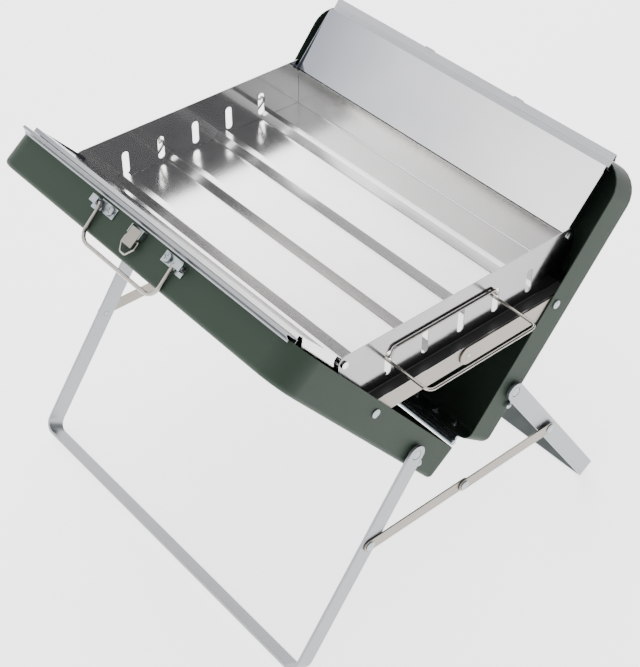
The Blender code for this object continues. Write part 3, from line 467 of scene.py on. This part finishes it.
# Painted reflection: base colour ramps from dark at the far end to light at the near end, broken
# up by broad haze.
tint(made, shader, along * 2.3 + haze * 0.5 + 0.20, (0.20, 0.21, 0.235), (0.80, 0.80, 0.79))
dull_by(made, shader, haze * 0.10 + 0.06)
relief(made, shader, grain(made, place, 9.0, 1.0, 0.4), 0.001, 0.05)
for half in ("front", "rear"):
    dress(half + "_reflector", sheet, 0.2)

# ---- Tray handles and carrying bails
# Bright nickel-plated steel wire, bent cold. The tray handles pass through the end plates' slots,
# and the bails turn in folded brackets screwed to the rims.
wire_plate, made, shader, place = finish("bright_nickel_wire", (0.34, 0.32, 0.29), 1.0, 0.20)
cloud = grain(made, place, 120.0, 3.0, 0.6)
tint(made, shader, cloud, (0.24, 0.225, 0.20), (0.42, 0.40, 0.37))
dull_by(made, shader, cloud * 0.16 + 0.12)
relief(made, shader, cloud, 0.00005, 0.3)
for node in ("tray_handle_near", "tray_handle_far", "front_bail", "rear_bail"):
    dress(node, wire_plate, smooth_below=70.0)


SCREW_RADIUS = 4.8
SCREW_HEIGHT = 2.9
RIM_FACE = 308.4               # pin to the outer face of a bracket's tab


def cross_screw(name, stand, body):
    """A pan-headed screw with a cross recess cut by two crossed bars."""
    profile = [(0.0, 0.0), (SCREW_RADIUS, 0.0), (SCREW_RADIUS, SCREW_HEIGHT * 0.45),
               (SCREW_RADIUS * 0.88, SCREW_HEIGHT * 0.82), (SCREW_RADIUS * 0.6, SCREW_HEIGHT),
               (0.0, SCREW_HEIGHT)]
    work = turn_profile(profile, 32)
    bmesh.ops.recalc_face_normals(work, faces=work.faces)
    draft_mesh = bpy.data.meshes.new(name + "_draft")
    work.to_mesh(draft_mesh)
    work.free()
    draft = bpy.data.objects.new(name + "_draft", draft_mesh)
    scene.collection.objects.link(draft)
    tools = []
    for turn in (0.0, math.pi / 2):
        work = bmesh.new()
        slot_size = Matrix.Diagonal((SCREW_RADIUS * 1.12 * MM, SCREW_RADIUS * 0.26 * MM,
                                     SCREW_HEIGHT * 1.2 * MM, 1.0))
        bmesh.ops.create_cube(work, size=1.0, matrix=Matrix.Translation((0, 0, SCREW_HEIGHT * MM))
                              @ Matrix.Rotation(turn, 4, "Z") @ slot_size)
        tool_mesh = bpy.data.meshes.new(name + "_tool")
        work.to_mesh(tool_mesh)
        work.free()
        tool = bpy.data.objects.new(name + "_tool", tool_mesh)
        scene.collection.objects.link(tool)
        cut = draft.modifiers.new("recess", "BOOLEAN")
        cut.operation = "DIFFERENCE"
        cut.object = tool
        tools.append(tool)
    bpy.context.view_layer.update()
    graph = bpy.context.evaluated_depsgraph_get()
    cut_mesh = bpy.data.meshes.new_from_object(draft.evaluated_get(graph))
    for spare in [draft] + tools:
        bpy.data.objects.remove(spare)
    work = bmesh.new()
    work.from_mesh(cut_mesh)
    bmesh.ops.transform(work, matrix=stand, verts=work.verts)
    settle(work, name, zinc, body)


for half in ("front", "rear"):
    for side, name in ((1, "plus"), (-1, "minus")):
        dress(f"{half}_bracket_{name}", zinc, 0.2)
        stand = half_frame[half] @ Matrix.Translation(Vector((side * 43.5, 13.5, RIM_FACE)) * MM)
        stand = stand @ Matrix.Rotation(0.4 * side, 4, "Z")
        cross_screw(f"{half}_bracket_screw_{name}", stand, half + "_case_body")

# ---- Latch and strike
# A small draw latch: an eared bracket and its pin, a channel lever and a wire loop that catches
# the hooked strike on the other case.
dress("latch_base", zinc, 0.15)
dress("latch_lever", nickel, 0.15)
dress("latch_loop", wire_plate, smooth_below=70.0)
dress("rear_strike", zinc, 0.15)
